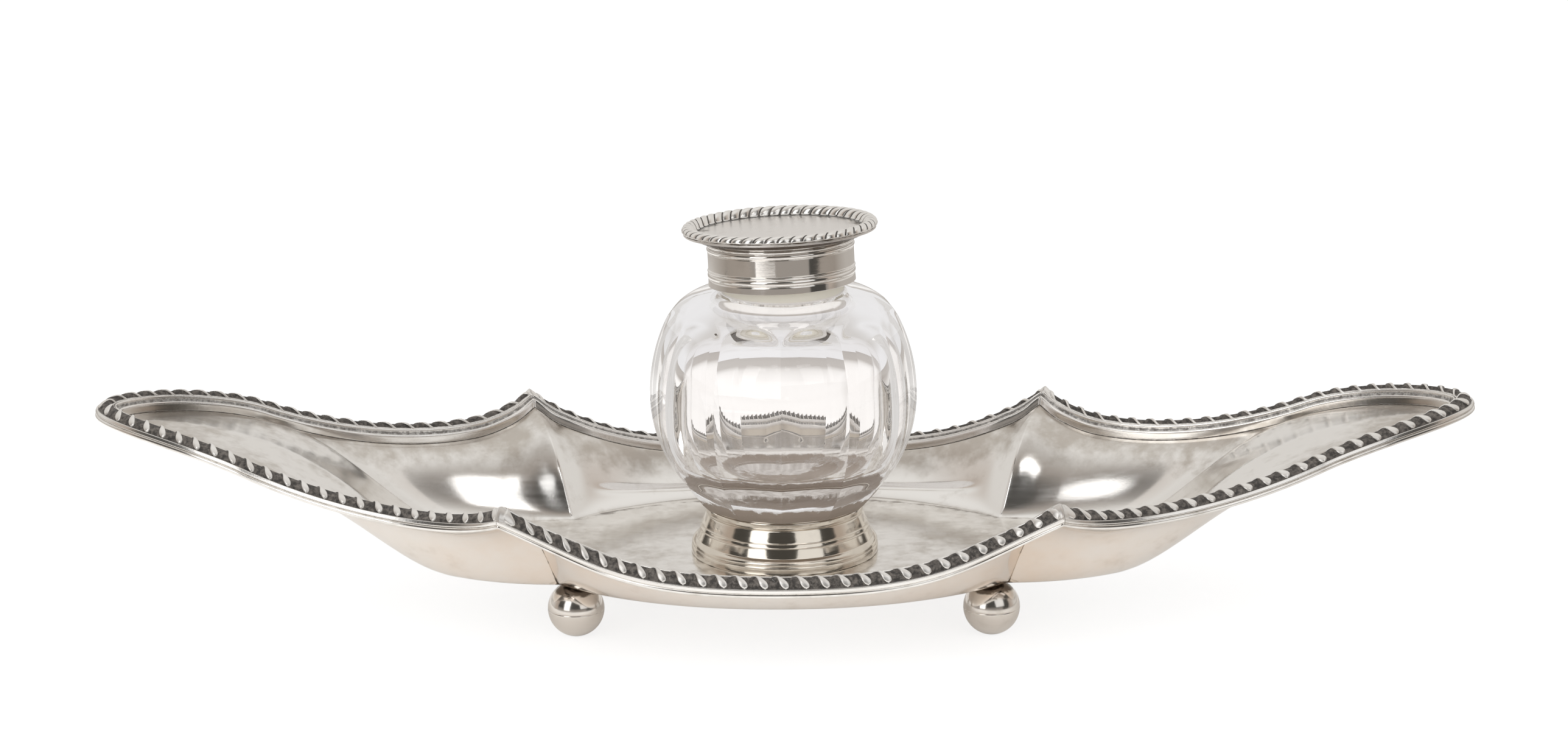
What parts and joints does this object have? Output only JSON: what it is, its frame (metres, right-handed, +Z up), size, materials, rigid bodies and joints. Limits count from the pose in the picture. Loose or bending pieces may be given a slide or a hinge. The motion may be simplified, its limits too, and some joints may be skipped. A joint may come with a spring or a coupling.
{
  "type": "desk inkstand",
  "caption": "Footed boat-shaped desk inkstand with pen dishes in its wings, a moulded border and a lift-out faceted glass ink well with a hinged lid.",
  "frame": {"origin": "on the table, under the middle of the tray", "axes": "+X along the tray to its right tip, -Y to the front, +Z up"},
  "size_m": [0.2608, 0.097, 0.0764],
  "materials": {
    "silver_plate": "polished silver plate with light tarnish",
    "border_plate": "silver plate, dark in the hollows",
    "fittings_plate": "polished silver plate with a warm tarnish",
    "well_glass": "clear cut glass",
    "plaster": "matt plaster of Paris",
    "pin_steel": "drawn wire"
  },
  "bodies": {
    "stand": {"tray_body": "silver_plate", "border_front": "border_plate", "border_rear": "border_plate", "border_left": "border_plate", "border_right": "border_plate", "foot_front_left_upper": "silver_plate", "foot_front_left_lower": "silver_plate", "foot_front_right_upper": "silver_plate", "foot_front_right_lower": "silver_plate", "foot_rear_left_upper": "silver_plate", "foot_rear_left_lower": "silver_plate", "foot_rear_right_upper": "silver_plate", "foot_rear_right_lower": "silver_plate", "well_socket": "fittings_plate"},
    "well": {"glass_well": "well_glass", "neck_collar": "fittings_plate", "collar_plaster": "plaster", "collar_hinge": "fittings_plate", "hinge_pin": "pin_steel"},
    "lid": {"lid_plate": "fittings_plate", "lid_border": "border_plate", "lid_bezel": "fittings_plate", "lid_knuckle": "fittings_plate"}
  },
  "joints": [
    {"name": "well_lift", "type": "slide", "parent": "stand", "child": "well", "axis": [0, 0, 1], "range_m": [0, 0.04]},
    {"name": "lid_hinge", "type": "hinge", "parent": "well", "child": "lid", "pos_m": [-0.00024, 0.01652, 0.06976], "axis": [-0.9993, 0, -0.0384], "range_deg": [0, 110]}
  ]
}
